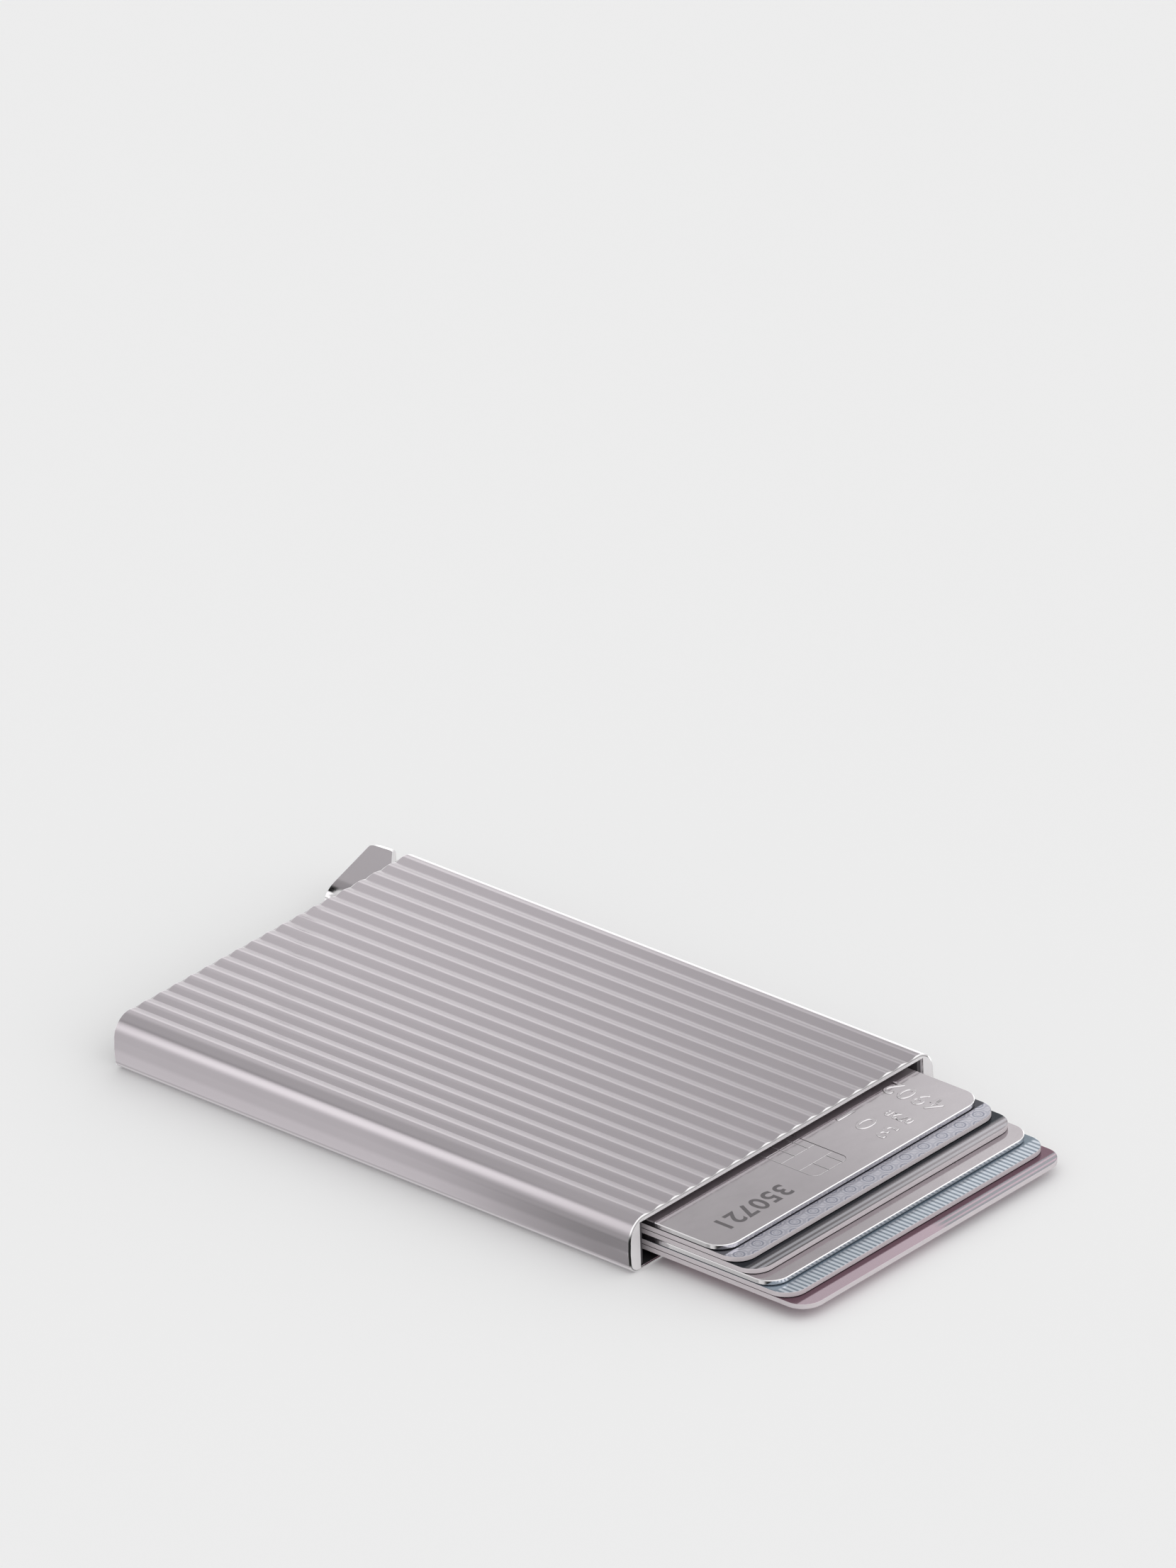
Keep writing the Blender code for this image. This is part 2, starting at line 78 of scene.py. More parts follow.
class Paint:
    """Builds the node tree of one material, world or node group with short calls."""

    def __init__(self, name=None, tree=None):
        if tree is None:
            self.material = bpy.data.materials.new(name)
            self.material.use_nodes = True
            tree = self.material.node_tree
            self.shader = tree.nodes["Principled BSDF"]
            self.surface = tree.nodes["Material Output"].inputs["Surface"]
        self.tree = tree
        self.coords = None

    def node(self, kind, *values, **settings):
        """A node with its settings and its inputs, given in order; None leaves one alone."""
        made = self.tree.nodes.new("ShaderNode" + kind)
        for key, value in settings.items():
            setattr(made, key, value)
        for socket, value in zip(made.inputs, values):
            self.put(socket, value)
        return made

    def put(self, socket, value):
        """Set a socket to a value, or link it to another node's output."""
        if value is None:
            return
        if isinstance(value, bpy.types.NodeSocket):
            self.tree.links.new(value, socket)
        elif socket.type == "RGBA" and len(value) == 3:
            socket.default_value = (*value, 1)
        else:
            socket.default_value = value

    def maths(self, operation, a, b=None, c=None):
        return self.node("Math", a, b, c, operation=operation).outputs[0]

    def plus(self, a, b):
        return self.maths("ADD", a, b)

    def minus(self, a, b):
        return self.maths("SUBTRACT", a, b)

    def times(self, a, b):
        return self.maths("MULTIPLY", a, b)

    def size(self, value):
        """A number without its sign."""
        return self.maths("ABSOLUTE", value)

    def past_line(self, along, height, lean, start):
        """How far a place lies past a line that leans by so much for each step of height."""
        return self.minus(along, self.maths("MULTIPLY_ADD", height, lean, start))

    def vector(self, operation, a, b=None):
        made = self.node("VectorMath", a, b, operation=operation)
        return made.outputs["Value" if operation in ("DOT_PRODUCT", "LENGTH") else "Vector"]

    def ease(self, value, low, high, to_low=0.0, to_high=1.0):
        """A value mapped smoothly from one range to another."""
        made = self.node("MapRange", value, low, high, to_low, to_high)
        made.interpolation_type = "SMOOTHSTEP"
        return made.outputs[0]

    def blend(self, share, a, b, kind="RGBA"):
        """A colour, or with kind FLOAT a number, between a and b."""
        made = self.node("Mix", data_type=kind)
        for name, value in (("Factor", share), ("A", a), ("B", b)):
            socket = [s for s in made.inputs if s.name == name and s.enabled][0]
            self.put(socket, value)
        return [s for s in made.outputs if s.enabled][0]

    def between(self, share, a, b):
        """A number between a and b."""
        return self.blend(share, a, b, "FLOAT")

    def place(self):
        """The point's place in the part's own frame, in millimetres, as x, y and z."""
        if self.coords is None:
            source = self.node("TexCoord")
            scaled = self.node("VectorMath", source.outputs["Object"], operation="SCALE")
            scaled.inputs["Scale"].default_value = 1 / MM
            self.point = scaled.outputs[0]
            self.facing = source.outputs["Normal"]
            self.coords = self.node("SeparateXYZ", self.point).outputs
        return self.coords

    def facing_up(self, low=0.8, high=0.95):
        """1 on faces that look straight up or down, 0 on edges."""
        self.place()
        split = self.node("SeparateXYZ", self.facing)
        return self.ease(self.size(split.outputs[2]), low, high)

    def noise(self, stretch, detail=2.0, rough=0.5):
        """Noise whose grain is 1/stretch millimetres, along each axis where stretch has three."""
        self.place()
        if isinstance(stretch, float):
            stretch = (stretch, stretch, stretch)
        stretched = self.vector("MULTIPLY", self.point, stretch)
        made = self.node("TexNoise", stretched, None, 1.0, detail, rough)
        return made.outputs["Fac"]

    def bump(self, height, depth):
        """Raise the surface by a height of 0 to 1 times depth in millimetres."""
        made = self.node("Bump")
        made.inputs["Strength"].default_value = 1.0
        made.inputs["Distance"].default_value = depth * MM
        self.put(made.inputs["Height"], height)
        self.put(self.shader.inputs["Normal"], made.outputs[0])

    def stripe(self, value, pitch, width, soft=0.08):
        """1 on lines of a width, repeated at a pitch along a value in millimetres."""
        turn = self.maths("PINGPONG", value, pitch / 2)
        return self.ease(turn, width / 2 + soft, width / 2)

    def finish(self, **inputs):
        """Set the shader's inputs, named in lower case, and give its material."""
        for name, value in inputs.items():
            title = name.replace("_", " ").title().replace("Ior", "IOR")
            self.put(self.shader.inputs[title], value)
        return self.material


def tinted(colour, share):
    """A colour made lighter or darker by a share."""
    return tuple(c * share for c in colour)


def dress(node, material):
    """Give a CAD node its material."""
    mesh = nodes[node].data
    mesh.materials.clear()
    mesh.materials.append(material)
    for face in mesh.polygons:
        face.material_index = 0


# Edges, broken and shaded smooth by modifiers

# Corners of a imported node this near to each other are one, in millimetres
WELD_DISTANCE = 0.0005
# Edges sharper than this are broken by a bevel
SHARP = math.radians(35)


def geometry_group(name):
    """A new node group for a mesh, with its first and its last node."""
    group = bpy.data.node_groups.new(name, "GeometryNodeTree")
    for way in ("INPUT", "OUTPUT"):
        group.interface.new_socket("Mesh", in_out=way, socket_type="NodeSocketGeometry")
    return group, group.nodes.new("NodeGroupInput"), group.nodes.new("NodeGroupOutput")


def smoothing(limit):
    """A node group that shades a mesh smooth, but for edges sharper than a limit in degrees."""
    group, start, end = geometry_group("smooth_below_%d" % limit)
    angle = group.nodes.new("GeometryNodeInputMeshEdgeAngle")
    soft = group.nodes.new("FunctionNodeCompare")
    soft.operation = "LESS_THAN"
    soft.inputs["B"].default_value = math.radians(limit)
    edges = group.nodes.new("GeometryNodeSetShadeSmooth")
    edges.domain = "EDGE"
    faces = group.nodes.new("GeometryNodeSetShadeSmooth")
    link = group.links.new
    link(angle.outputs["Unsigned Angle"], soft.inputs["A"])
    link(start.outputs[0], edges.inputs["Geometry"])
    link(soft.outputs[0], edges.inputs["Shade Smooth"])
    link(edges.outputs[0], faces.inputs["Geometry"])
    link(faces.outputs[0], end.inputs[0])
    return group


def mark_edges(centre, half):
    """A node group that marks a mesh's sharp edges for a bevel, but not those over a rectangle.

    The rectangle's centre and half its sides are in millimetres, seen from above.
    """
    group, start, end = geometry_group("mark_edges")
    paint = Paint(tree=group)
    angle = group.nodes.new("GeometryNodeInputMeshEdgeAngle").outputs["Unsigned Angle"]
    place = paint.node("SeparateXYZ", group.nodes.new("GeometryNodeInputPosition").outputs[0])
    reach = [
        paint.maths("DIVIDE", paint.size(paint.minus(at, middle * MM)), side * MM)
        for at, middle, side in zip(place.outputs, centre, half)]
    outside = paint.maths("GREATER_THAN", paint.maths("MAXIMUM", *reach), 1.0)
    mark = paint.times(outside, paint.maths("GREATER_THAN", angle, SHARP))
    store = group.nodes.new("GeometryNodeStoreNamedAttribute")
    store.data_type, store.domain = "FLOAT", "EDGE"
    store.inputs["Name"].default_value = "bevel_weight_edge"
    group.links.new(mark, store.inputs["Value"])
    group.links.new(start.outputs[0], store.inputs["Geometry"])
    group.links.new(store.outputs[0], end.inputs[0])
    return group


def weld(thing):
    """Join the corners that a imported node's faces don't share."""
    thing.modifiers.new("weld", "WELD").merge_threshold = WELD_DISTANCE * MM


def shade_smooth(thing, group):
    """Shade a piece smooth with a group made by smoothing."""
    thing.modifiers.new("smooth", "NODES").node_group = group


def round_edges(thing, width, segments, marks):
    """Break a piece's marked edges."""
    thing.modifiers.new("marks", "NODES").node_group = marks
    bevel = thing.modifiers.new("edges", "BEVEL")
    bevel.width = width * MM
    bevel.segments = segments
    bevel.limit_method = "WEIGHT"
    bevel.use_clamp_overlap = False


# Camera: its turn, its distance in metres, its focal length in the photograph's pixels, the
# pixel where the part's origin falls, and its sensor's longer side in millimetres

AZIMUTH, ELEVATION, ROLL = (math.radians(a) for a in (-47.718, 28.640, -1.991))
CAMERA_DISTANCE = 3.0722
FOCAL_PIXELS = 31854.0
PHOTO_WIDTH, PHOTO_HEIGHT = 1659, 2212
ORIGIN_PIXEL = (738.6, 1529.4)
SENSOR = 36


def aim_camera():
    """A long lens with the photograph's own view of the part."""
    back = Vector((
        math.sin(AZIMUTH) * math.cos(ELEVATION),
        -math.cos(AZIMUTH) * math.cos(ELEVATION),
        math.sin(ELEVATION),
    ))
    right = Vector((math.cos(AZIMUTH), math.sin(AZIMUTH), 0))
    up = back.cross(right)
    right, up = (
        right * math.cos(ROLL) + up * math.sin(ROLL),
        up * math.cos(ROLL) - right * math.sin(ROLL),
    )
    aim = -back + right * (PHOTO_WIDTH / 2 - ORIGIN_PIXEL[0]) / FOCAL_PIXELS
    aim += up * (ORIGIN_PIXEL[1] - PHOTO_HEIGHT / 2) / FOCAL_PIXELS
    aim.normalize()
    right = (right - aim * right.dot(aim)).normalized()
    up = right.cross(aim)
    data = bpy.data.cameras.new("camera")
    data.sensor_width = SENSOR
    data.lens = SENSOR * FOCAL_PIXELS / PHOTO_HEIGHT
    data.clip_start, data.clip_end = 0.1, 20
    made = bpy.data.objects.new("camera", data)
    bpy.context.scene.collection.objects.link(made)
    turn = Matrix((right, up, -aim)).transposed()
    made.matrix_world = Matrix.Translation(back * CAMERA_DISTANCE) @ turn.to_4x4()
    bpy.context.scene.camera = made


aim_camera()
bpy.context.scene.view_settings.view_transform = "Standard"


# Light: a soft studio, made of a world and of sheets that only reflections see. A ramp holds
# two places, in millimetres on a sheet, and the levels of light at them.

# Directions in the world, seen from the part
OVER_WALL = (-0.674, 0.0, 0.738)
BEHIND_CAMERA = (-0.59, -0.65, -0.48)
SPARK = (0.649, -0.479, 0.591)
FLAG = (0.649, -0.59, 0.479)

# The world's ramps and levels
WORLD_WALL = (-0.55, 0.0, 1.10, 0.90)
WORLD_CEILING = (-0.15, 0.50, 0.56, 0.66)
NEAR_GROUND = (-0.38, -0.56, 0.70, 0.88)
NEAR_FOOT_LEVEL = 0.68
FAR_GROUND_LEVEL = 0.6
FRONT = (-0.4, -0.7, 1.05, 1.25)
LOW_FRONT_LEVEL = 0.65
BEHIND_CAMERA_LEVEL = 0.03
SPARK_LEVEL = 1.9
FLAG_LEVEL = 0.47


def light_world():
    """A world that is bright low on the far side and in front, and grey overhead."""
    world = bpy.data.worlds.new("studio")
    world.use_nodes = True
    paint = Paint(tree=world.node_tree)
    way = paint.node("TexCoord").outputs["Generated"]
    x, y, z = paint.node("SeparateXYZ", way).outputs
    # Above the far side's bright wall the ceiling is grey
    over = paint.vector("DOT_PRODUCT", way, OVER_WALL)
    wall = paint.ease(over, *WORLD_WALL)
    ceiling = paint.ease(x, *WORLD_CEILING)
    level = paint.between(paint.ease(over, 0.02, -0.02), ceiling, wall)
    # The near side's ground is greyer far away, and again right below
    near_ground = paint.ease(z, *NEAR_GROUND)
    near_ground = paint.between(paint.ease(z, -0.62, -0.74), near_ground, NEAR_FOOT_LEVEL)
    near_below = paint.times(paint.ease(z, 0.1, -0.15), paint.ease(x, 0.2, -0.2))
    level = paint.between(near_below, level, near_ground)
    far_below = paint.times(paint.ease(z, -0.38, -0.5), paint.ease(x, 0.0, 0.3))
    level = paint.between(far_below, level, FAR_GROUND_LEVEL)
    # The front is bright, greyer below, and dark low behind the camera
    front = paint.between(paint.ease(z, -0.15, 0.1), LOW_FRONT_LEVEL, paint.ease(y, *FRONT))
    level = paint.between(paint.ease(y, 0.25, -0.3), level, front)
    dark = paint.vector("DOT_PRODUCT", way, BEHIND_CAMERA)
    level = paint.between(paint.ease(dark, 0.80, 0.93), level, BEHIND_CAMERA_LEVEL)
    # A small lamp for the cards' front bevels, and beside it a grey flag for the cut ends
    spark = paint.vector("DOT_PRODUCT", way, SPARK)
    level = paint.between(paint.ease(spark, 0.989, 0.996), level, SPARK_LEVEL)
    flag = paint.vector("DOT_PRODUCT", way, FLAG)
    level = paint.between(paint.ease(flag, 0.984, 0.995), level, FLAG_LEVEL)
    background = world.node_tree.nodes["Background"]
    paint.put(background.inputs["Color"], (1.0, 1.0, 1.0))
    paint.put(background.inputs["Strength"], level)
    bpy.context.scene.world = world


def across(x, y, z):
    """The corners of a sheet that faces across the tube, between two values of y and of z."""
    return [(x, y[0], z[0]), (x, y[1], z[0]), (x, y[1], z[1]), (x, y[0], z[1])]


def flat(x, y, z):
    """The corners of a level sheet, between two values of x and of y."""
    return [(x[0], y[0], z), (x[1], y[0], z), (x[1], y[1], z), (x[0], y[1], z)]


def stage_sheet(name, corners):
    """A flat sheet of the studio through four corners in millimetres."""
    mesh = bpy.data.meshes.new(name)
    mesh.from_pydata([Vector(c) * MM for c in corners], [], [(0, 1, 2, 3)])
    sheet = bpy.data.objects.new(name, mesh)
    bpy.context.scene.collection.objects.link(sheet)
    return sheet


def reflector(name, corners, level):
    """A sheet that only reflections see, with a level of light or level(paint) to give it."""
    sheet = stage_sheet(name, corners)
    for ray in ("camera", "diffuse", "transmission", "volume_scatter", "shadow"):
        setattr(sheet, "visible_" + ray, False)
    paint = Paint(name)
    glow = paint.node("Emission", (1.0, 1.0, 1.0), level(paint) if callable(level) else level)
    paint.put(paint.surface, glow.outputs[0])
    sheet.data.materials.append(paint.material)


# The far wall's ramps. Its lines lean as the ribs and the cards mirror them: by how much for
# each millimetre of height, and from which y on the ground.
FLANK_LINE = (0.29, -11.0)
FLANK_RISE = (20.0, 180.0, 0.42, 0.92)
FLANK_FALL = (215.0, 320.0, 0.0, 0.40)
SOFTBOX_GAIN = (30.0, 105.0, 0.83, 1.27)
SOFTBOX_FOOT = (46.0, 8.0)
SOFTBOX_FOOT_LEVEL = 1.85
SOFTBOX_TOP = (153.0, 157.0)
CREST_LINE = (0.45, -2.8)
OVER_SOFTBOX = (50.0, 170.0, 0.58, 0.80)
CARD_LINE = (1.233, -9.9)
CARD_EDGE = (-47.5, -51.0)
CARD_FOOT = (112.0, 124.0)
CARD_GREY = (172.0, 136.0, 0.58, 0.70)
CARD_GAIN = (163.0, 134.0, 0.0, 0.38)


def wall_level(paint):
    """The far wall: a softbox, white near the ground, up to where the ribs' crests mirror it.

    Over the softbox it is grey. The cards' tops mirror a stretch of their own.
    """
    _, y, z = paint.place()
    flank = paint.past_line(y, z, *FLANK_LINE)
    lit = paint.minus(paint.ease(flank, *FLANK_RISE), paint.ease(flank, *FLANK_FALL))
    lit = paint.times(lit, paint.ease(z, *SOFTBOX_GAIN))
    softbox = paint.between(paint.ease(z, *SOFTBOX_FOOT), lit, SOFTBOX_FOOT_LEVEL)
    grey = paint.ease(paint.past_line(y, z, *CREST_LINE), *OVER_SOFTBOX)
    wall = paint.between(paint.ease(z, *SOFTBOX_TOP), softbox, grey)
    cards = paint.plus(paint.ease(z, *CARD_GREY), paint.ease(z, *CARD_GAIN))
    card_side = paint.times(
        paint.ease(z, *CARD_FOOT), paint.ease(paint.past_line(y, z, *CARD_LINE), *CARD_EDGE))
    return paint.between(card_side, wall, cards)


# The ceiling's ramps and levels. It pales along the tube from a corner that moves back by so
# much for each millimetre past an x.
CORNER_X = 68.0
CORNER_LEAN = 0.43
PALE_ACROSS = (10.0, 90.0)
PALE_ALONG = (50.0, 170.0)
CEILING_LEVEL = 0.58
CEILING_GAIN = 0.22


def ceiling_level(paint):
    """The ceiling, paler towards the far end's far side."""
    x, y, _ = paint.place()
    past = paint.maths("MAXIMUM", paint.minus(x, CORNER_X), 0.0)
    along = paint.minus(y, paint.times(past, CORNER_LEAN))
    pale = paint.times(paint.ease(x, *PALE_ACROSS), paint.ease(along, *PALE_ALONG))
    return paint.maths("MULTIPLY_ADD", pale, CEILING_GAIN, CEILING_LEVEL)


# The near side's ramps and levels. The lower a place lies below a height, the further along
# the ground the dark from the mouth reaches.
FOOT_LEAN = 0.52
FOOT_SHIFT = 24.7
GROUND_HEIGHT = (-30.0, -66.0, 0.74, 0.90)
GROUND_ALONG = (10.0, 58.0)
GROUND_AT_MOUTH = (-38.0, -14.0, 0.42, 0.68)
CARDS_ALONG = (15.0, 12.0)
CARDS_HEIGHT = (-37.0, -44.0)
CARDS_GROUND = (2.0, 15.0, 0.58, 0.90)
LAMP_RISE = (8.0, 50.0, 0.76, 1.32)
LAMP_FALL = (62.0, 165.0, 0.0, 0.74)
LAMP_ALONG_RISE = (10.0, 60.0, 0.78, 1.0)
LAMP_ALONG_FALL = (90.0, 130.0, 0.0, 0.2)
LAMP_FOOT = (4.0, 12.0)


def side_level(paint):
    """The near side: a long lamp over a grey ground that darkens towards the mouth.

    The ground is brighter where the cards' near edges mirror it.
    """
    _, y, z = paint.place()
    shift = paint.maths("MINIMUM", paint.maths("MULTIPLY_ADD", z, FOOT_LEAN, FOOT_SHIFT), 0.0)
    darkest = paint.ease(z, *GROUND_AT_MOUTH)
    along = paint.ease(paint.plus(y, shift), *GROUND_ALONG, darkest, 1.0)
    ground = paint.times(paint.ease(z, *GROUND_HEIGHT), along)
    cards = paint.times(paint.ease(y, *CARDS_ALONG), paint.ease(z, *CARDS_HEIGHT))
    ground = paint.between(cards, ground, paint.ease(y, *CARDS_GROUND))
    lamp = paint.minus(paint.ease(z, *LAMP_RISE), paint.ease(z, *LAMP_FALL))
    share = paint.minus(paint.ease(y, *LAMP_ALONG_RISE), paint.ease(y, *LAMP_ALONG_FALL))
    return paint.between(paint.ease(z, *LAMP_FOOT), ground, paint.times(lamp, share))


# The floor, and the height at which sheets hang over the tab for its polished roll
FLOOR_REACH = (-6000, 6000)
FLOOR_Z = -0.02
OVER_TAB_Z = 15.4


def lay_floor():
    """A pale floor just under the part, which reflections don't see."""
    floor = stage_sheet("floor", flat(FLOOR_REACH, FLOOR_REACH, FLOOR_Z))
    floor.visible_glossy = False
    paint = Paint("floor")
    floor.data.materials.append(paint.finish(
        base_color=(0.97, 0.97, 0.97), roughness=0.9, specular_ior_level=0.0))


light_world()
lay_floor()
reflector("far_wall", across(200, (-60, 420), (-60, 210)), wall_level)
reflector("ceiling", flat((-62, 150), (20, 320), 150), ceiling_level)
reflector("near_side", across(-100, (-40, 230), (-130, 200)), side_level)
reflector("tab_black", flat((19.5, 23), (56.2, 58.6), OVER_TAB_Z), 0.0)
reflector("tab_white", flat((8.5, 19.3), (56, 59), OVER_TAB_Z), 1.25)


# Metals

def satin_base(paint, colour):
    """The colour of satin metal, a little cloudy."""
    return paint.blend(paint.noise(0.12), tinted(colour, 0.975), tinted(colour, 1.025))


def anodised(name, colour, roughness, cut, inner=None):
    """Satin anodised metal with faint lines along it, and bright where it is cut bare.

    Where inner(paint) gives 1 it is dull, in the colour that inner gives with it.
    """
    paint = Paint(name)
    lines = paint.noise((9.0, 0.05, 9.0), 3.0)
    grain = paint.noise(7.0, 3.0)
    bare, line, sawn = cut(paint)
    # A grey line of painted reflection goes on the edge between the cut bevel and the sawn face
    bright = paint.blend(line, CUT_SILVER, CUT_PAINTED_REFLECTION)
    shade = paint.blend(bare, satin_base(paint, colour), bright)
    satin = paint.ease(grain, *MIDDLE, roughness - 0.03, roughness + 0.03)
    rough = paint.between(bare, satin, paint.between(sawn, 0.09, 0.45))
    metallic = paint.between(sawn, 1.0, 0.4)
    height = paint.plus(paint.times(lines, 0.6), grain)
    paint.bump(paint.times(height, paint.minus(1.0, bare)), 0.0012)
    if inner:
        dull, wall = inner(paint)
        shade = paint.blend(dull, shade, wall)
        rough = paint.between(dull, rough, 0.6)
        metallic = paint.between(dull, metallic, 0.0)
    return paint.finish(base_color=shade, roughness=rough, metallic=metallic)


def cut_ends(paint):
    """1 on the tube's cut ends with their bevels, on the edge between, which carries a painted
    reflection line, and on the sawn face.
    """
    reach = paint.size(paint.place()[1])
    end = tube_high[1]
    sawn = paint.ease(reach, end - 0.003, end - 0.001)
    # The edge between the bevel and the sawn face, where a grey line of painted reflection goes
    edge = paint.minus(paint.ease(reach, end - 0.12, end - 0.08), sawn)
    return paint.ease(reach, end - 0.28, end - 0.2), edge, sawn


def inner_walls(paint):
    """1 on the walls of the tube's cavity, and their colour, with painted shade near black on its
    floor.
    """
    x, y, z = paint.place()
    half_width = tube_high[0] - SIDE_WALL
    floor, roof = tube_low[2] + FLOOR_WALL, tube_high[2] - ROOF_WALL
    middle, half_height = (floor + roof) / 2, (roof - floor) / 2
    aside = paint.ease(paint.size(x), half_width + 0.2, half_width + 0.1)
    level = paint.size(paint.minus(z, middle))
    inside = paint.times(aside, paint.ease(level, half_height + 0.06, half_height + 0.03))
    reach = paint.ease(paint.size(y), tube_high[1] - 0.1, tube_high[1] - 0.2)
    # Painted shade: the cavity's walls go near black towards its floor
    wall = paint.blend(paint.ease(z, floor + 0.9, floor + 0.4), CAVITY_GREY, CAVITY_PAINTED_SHADE)
    return paint.times(inside, reach), wall


def off_level(paint):
    """1 on the tab's rim and roll, where it leans out of level, and no sawn face."""
    return paint.minus(1.0, paint.facing_up(0.972, 0.986)), 0.0, 0.0


def satin_card(name, colour):
    """Blasted card metal, a little cloudy, with polished edges."""
    paint = Paint(name)
    flat_face = paint.facing_up()
    cloud = paint.noise((0.22, 0.4, 0.22), 3.0, 0.6)
    grain = paint.noise(6.0, 3.0)
    shade = paint.blend(cloud, tinted(colour, 0.92), tinted(colour, 1.06))
    satin = paint.ease(grain, *MIDDLE, 0.10, 0.15)
    paint.bump(paint.times(grain, flat_face), 0.0004)
    return paint.finish(
        base_color=paint.blend(flat_face, CUT_SILVER, shade),
        roughness=paint.between(flat_face, 0.16, satin),
        metallic=1.0)


def drawn_steel(name):
    """Bright steel with rings round it."""
    paint = Paint(name)
    rings = paint.noise((1.0, 1.0, 12.0))
    rough = paint.ease(rings, 0.3, 0.7, 0.18, 0.3)
    return paint.finish(base_color=(0.62, 0.61, 0.6), roughness=rough, metallic=1.0)


dress("housing_tube", anodised("tube_metal", PINK_SILVER, 0.15, cut_ends, inner_walls))
dress("lever_fin", anodised("fin_metal", TAB_SILVER, 0.17, off_level))
card_metal = satin_card("card_metal", CARD_SILVER)
dress("card_1", card_metal)
dress("card_4", satin_card("card_silver", LOW_CARD_SILVER))
dress("pivot_pin", drawn_steel("pin_steel"))


# Plastics, rubber and felt

def moulded(name, colour, roughness=0.45):
    """Moulded plastic with a fine spark-eroded grain."""
    paint = Paint(name)
    grain = paint.noise(9.0, 3.0, 0.6)
    shade = paint.blend(paint.noise(0.3), tinted(colour, 0.8), tinted(colour, 1.3))
    rough = paint.ease(grain, 0.2, 0.8, roughness - 0.08, roughness + 0.1)
    paint.bump(grain, 0.006)
    return paint.finish(base_color=shade, roughness=rough)


def felt(name):
    """Short black felt."""
    paint = Paint(name)
    hairs = paint.noise((14.0, 3.0, 14.0), 4.0, 0.7)
    shade = paint.blend(hairs, (0.008, 0.008, 0.009), (0.04, 0.04, 0.042))
    paint.bump(hairs, 0.05)
    return paint.finish(base_color=shade, roughness=0.95)


def rubber(name):
    """Soft black rubber."""
    paint = Paint(name)
    grain = paint.noise(6.0, 3.0)
    shade = paint.blend(grain, (0.018, 0.018, 0.018), (0.04, 0.04, 0.04))
    paint.bump(grain, 0.01)
    return paint.finish(base_color=shade, roughness=0.75)


dress("rear_frame", moulded("frame_plastic", (0.02, 0.02, 0.022)))
dress("lever_arm", moulded("arm_plastic", (0.03, 0.03, 0.033)))
for side in ("liner_left", "liner_right"):
    dress(side, moulded("liner_strip", (0.05, 0.045, 0.05), 0.5))
for side in ("friction_pad_left", "friction_pad_right"):
    dress(side, rubber("pad_rubber"))
dress("floor_pad", felt("pad_felt"))


# Printed cards. Their prints are laid out in millimetres from the cards' front edges.

STOCK_COLOURS = ((0.52, 0.475, 0.495), (0.66, 0.61, 0.63))
METAL_CARDS = (1, 4)


def front_of(card):
    """Where a card's front edge lies along the tube."""
    return box(card)[0][1]


def shaded_by(paint, card, start, full):
    """1 where shade of the card above is painted, between two distances out from its front edge.
    """
    edge = front_of(card)
    return paint.ease(paint.place()[1], edge - start, edge - full)


def printed(name, pattern):
    """A laminated card: its print in metallic ink on both faces, plain stock on its cut edges."""
    paint = Paint(name)
    flat_face = paint.facing_up()
    grain = paint.noise(5.0, 3.0)
    stock = paint.blend(paint.noise((0.5, 0.5, 9.0)), *STOCK_COLOURS)
    shade = paint.blend(flat_face, stock, pattern(paint))
    satin = paint.ease(grain, *MIDDLE, 0.14, 0.2)
    paint.bump(grain, 0.0008)
    return paint.finish(
        base_color=shade,
        roughness=paint.between(flat_face, 0.5, satin),
        metallic=paint.between(flat_face, 0.0, 0.85))


def ring_lattice(paint):
    """Rings in staggered rows with fine bars between them, with painted shade under the card
    above.
    """
    x, y, _ = paint.place()
    # Half the rings' spacing across and along, and where the first one lies
    column, row = 3.8 / 2, 3.6 / 2
    first_x, first_y = -1.1, -front_of("card_2") - 1.4
    ink = 0.0
    for shift_x, shift_y in ((0.0, 0.0), (column, row)):
        aside = paint.maths("PINGPONG", paint.plus(x, first_x + shift_x), column)
        along = paint.maths("PINGPONG", paint.plus(y, first_y + shift_y), row)
        reach = paint.vector("LENGTH", paint.node("CombineXYZ", aside, along, 0.0).outputs[0])
        for radius, share in ((0.75, 1.0), (0.38, 0.5), (1.25, 0.45)):
            off = paint.size(paint.minus(reach, radius))
            ink = paint.maths("MAXIMUM", ink, paint.ease(off, 0.17, 0.06, 0.0, share))
    bars = paint.times(paint.stripe(paint.plus(x, y), 0.95, 0.2), 0.35)
    ink = paint.maths("MAXIMUM", ink, bars)
    field = paint.blend(ink, (0.61, 0.60, 0.66), (0.33, 0.34, 0.41))
    # Painted shade: dark where the card above meets this one
    return paint.blend(shaded_by(paint, "card_1", 0.25, 0.0), field, (0.07, 0.07, 0.085))


def slate_bands(paint):
    """Grey bands across the front that pale towards the far side, with blue-black painted shade
    and reflection of the card above behind them.
    """
    x, y, _ = paint.place()
    bands = paint.stripe(paint.plus(y, -front_of("card_3") - 1.45), 0.9, 0.36, 0.12)
    side = paint.ease(x, -26.0, 24.0)
    dark = paint.blend(side, (0.16, 0.15, 0.16), (0.40, 0.37, 0.39))
    light = paint.blend(side, (0.42, 0.415, 0.445), (0.55, 0.53, 0.56))
    field = paint.blend(bands, dark, light)
    # Painted shade and reflection: blue-black beside the card above
    return paint.blend(shaded_by(paint, "card_2", 1.35, 0.4), field, (0.018, 0.024, 0.032))


def fine_lines(paint):
    """Fine lines along the card on light blue, with painted shade under the card above."""
    lines = paint.stripe(paint.place()[0], 0.83, 0.26, 0.12)
    field = paint.blend(lines, (0.69, 0.74, 0.81), (0.27, 0.32, 0.38))
    # Painted shade: darker beside the card above
    return paint.blend(shaded_by(paint, "card_4", 0.65, 0.15), field, (0.22, 0.27, 0.32))


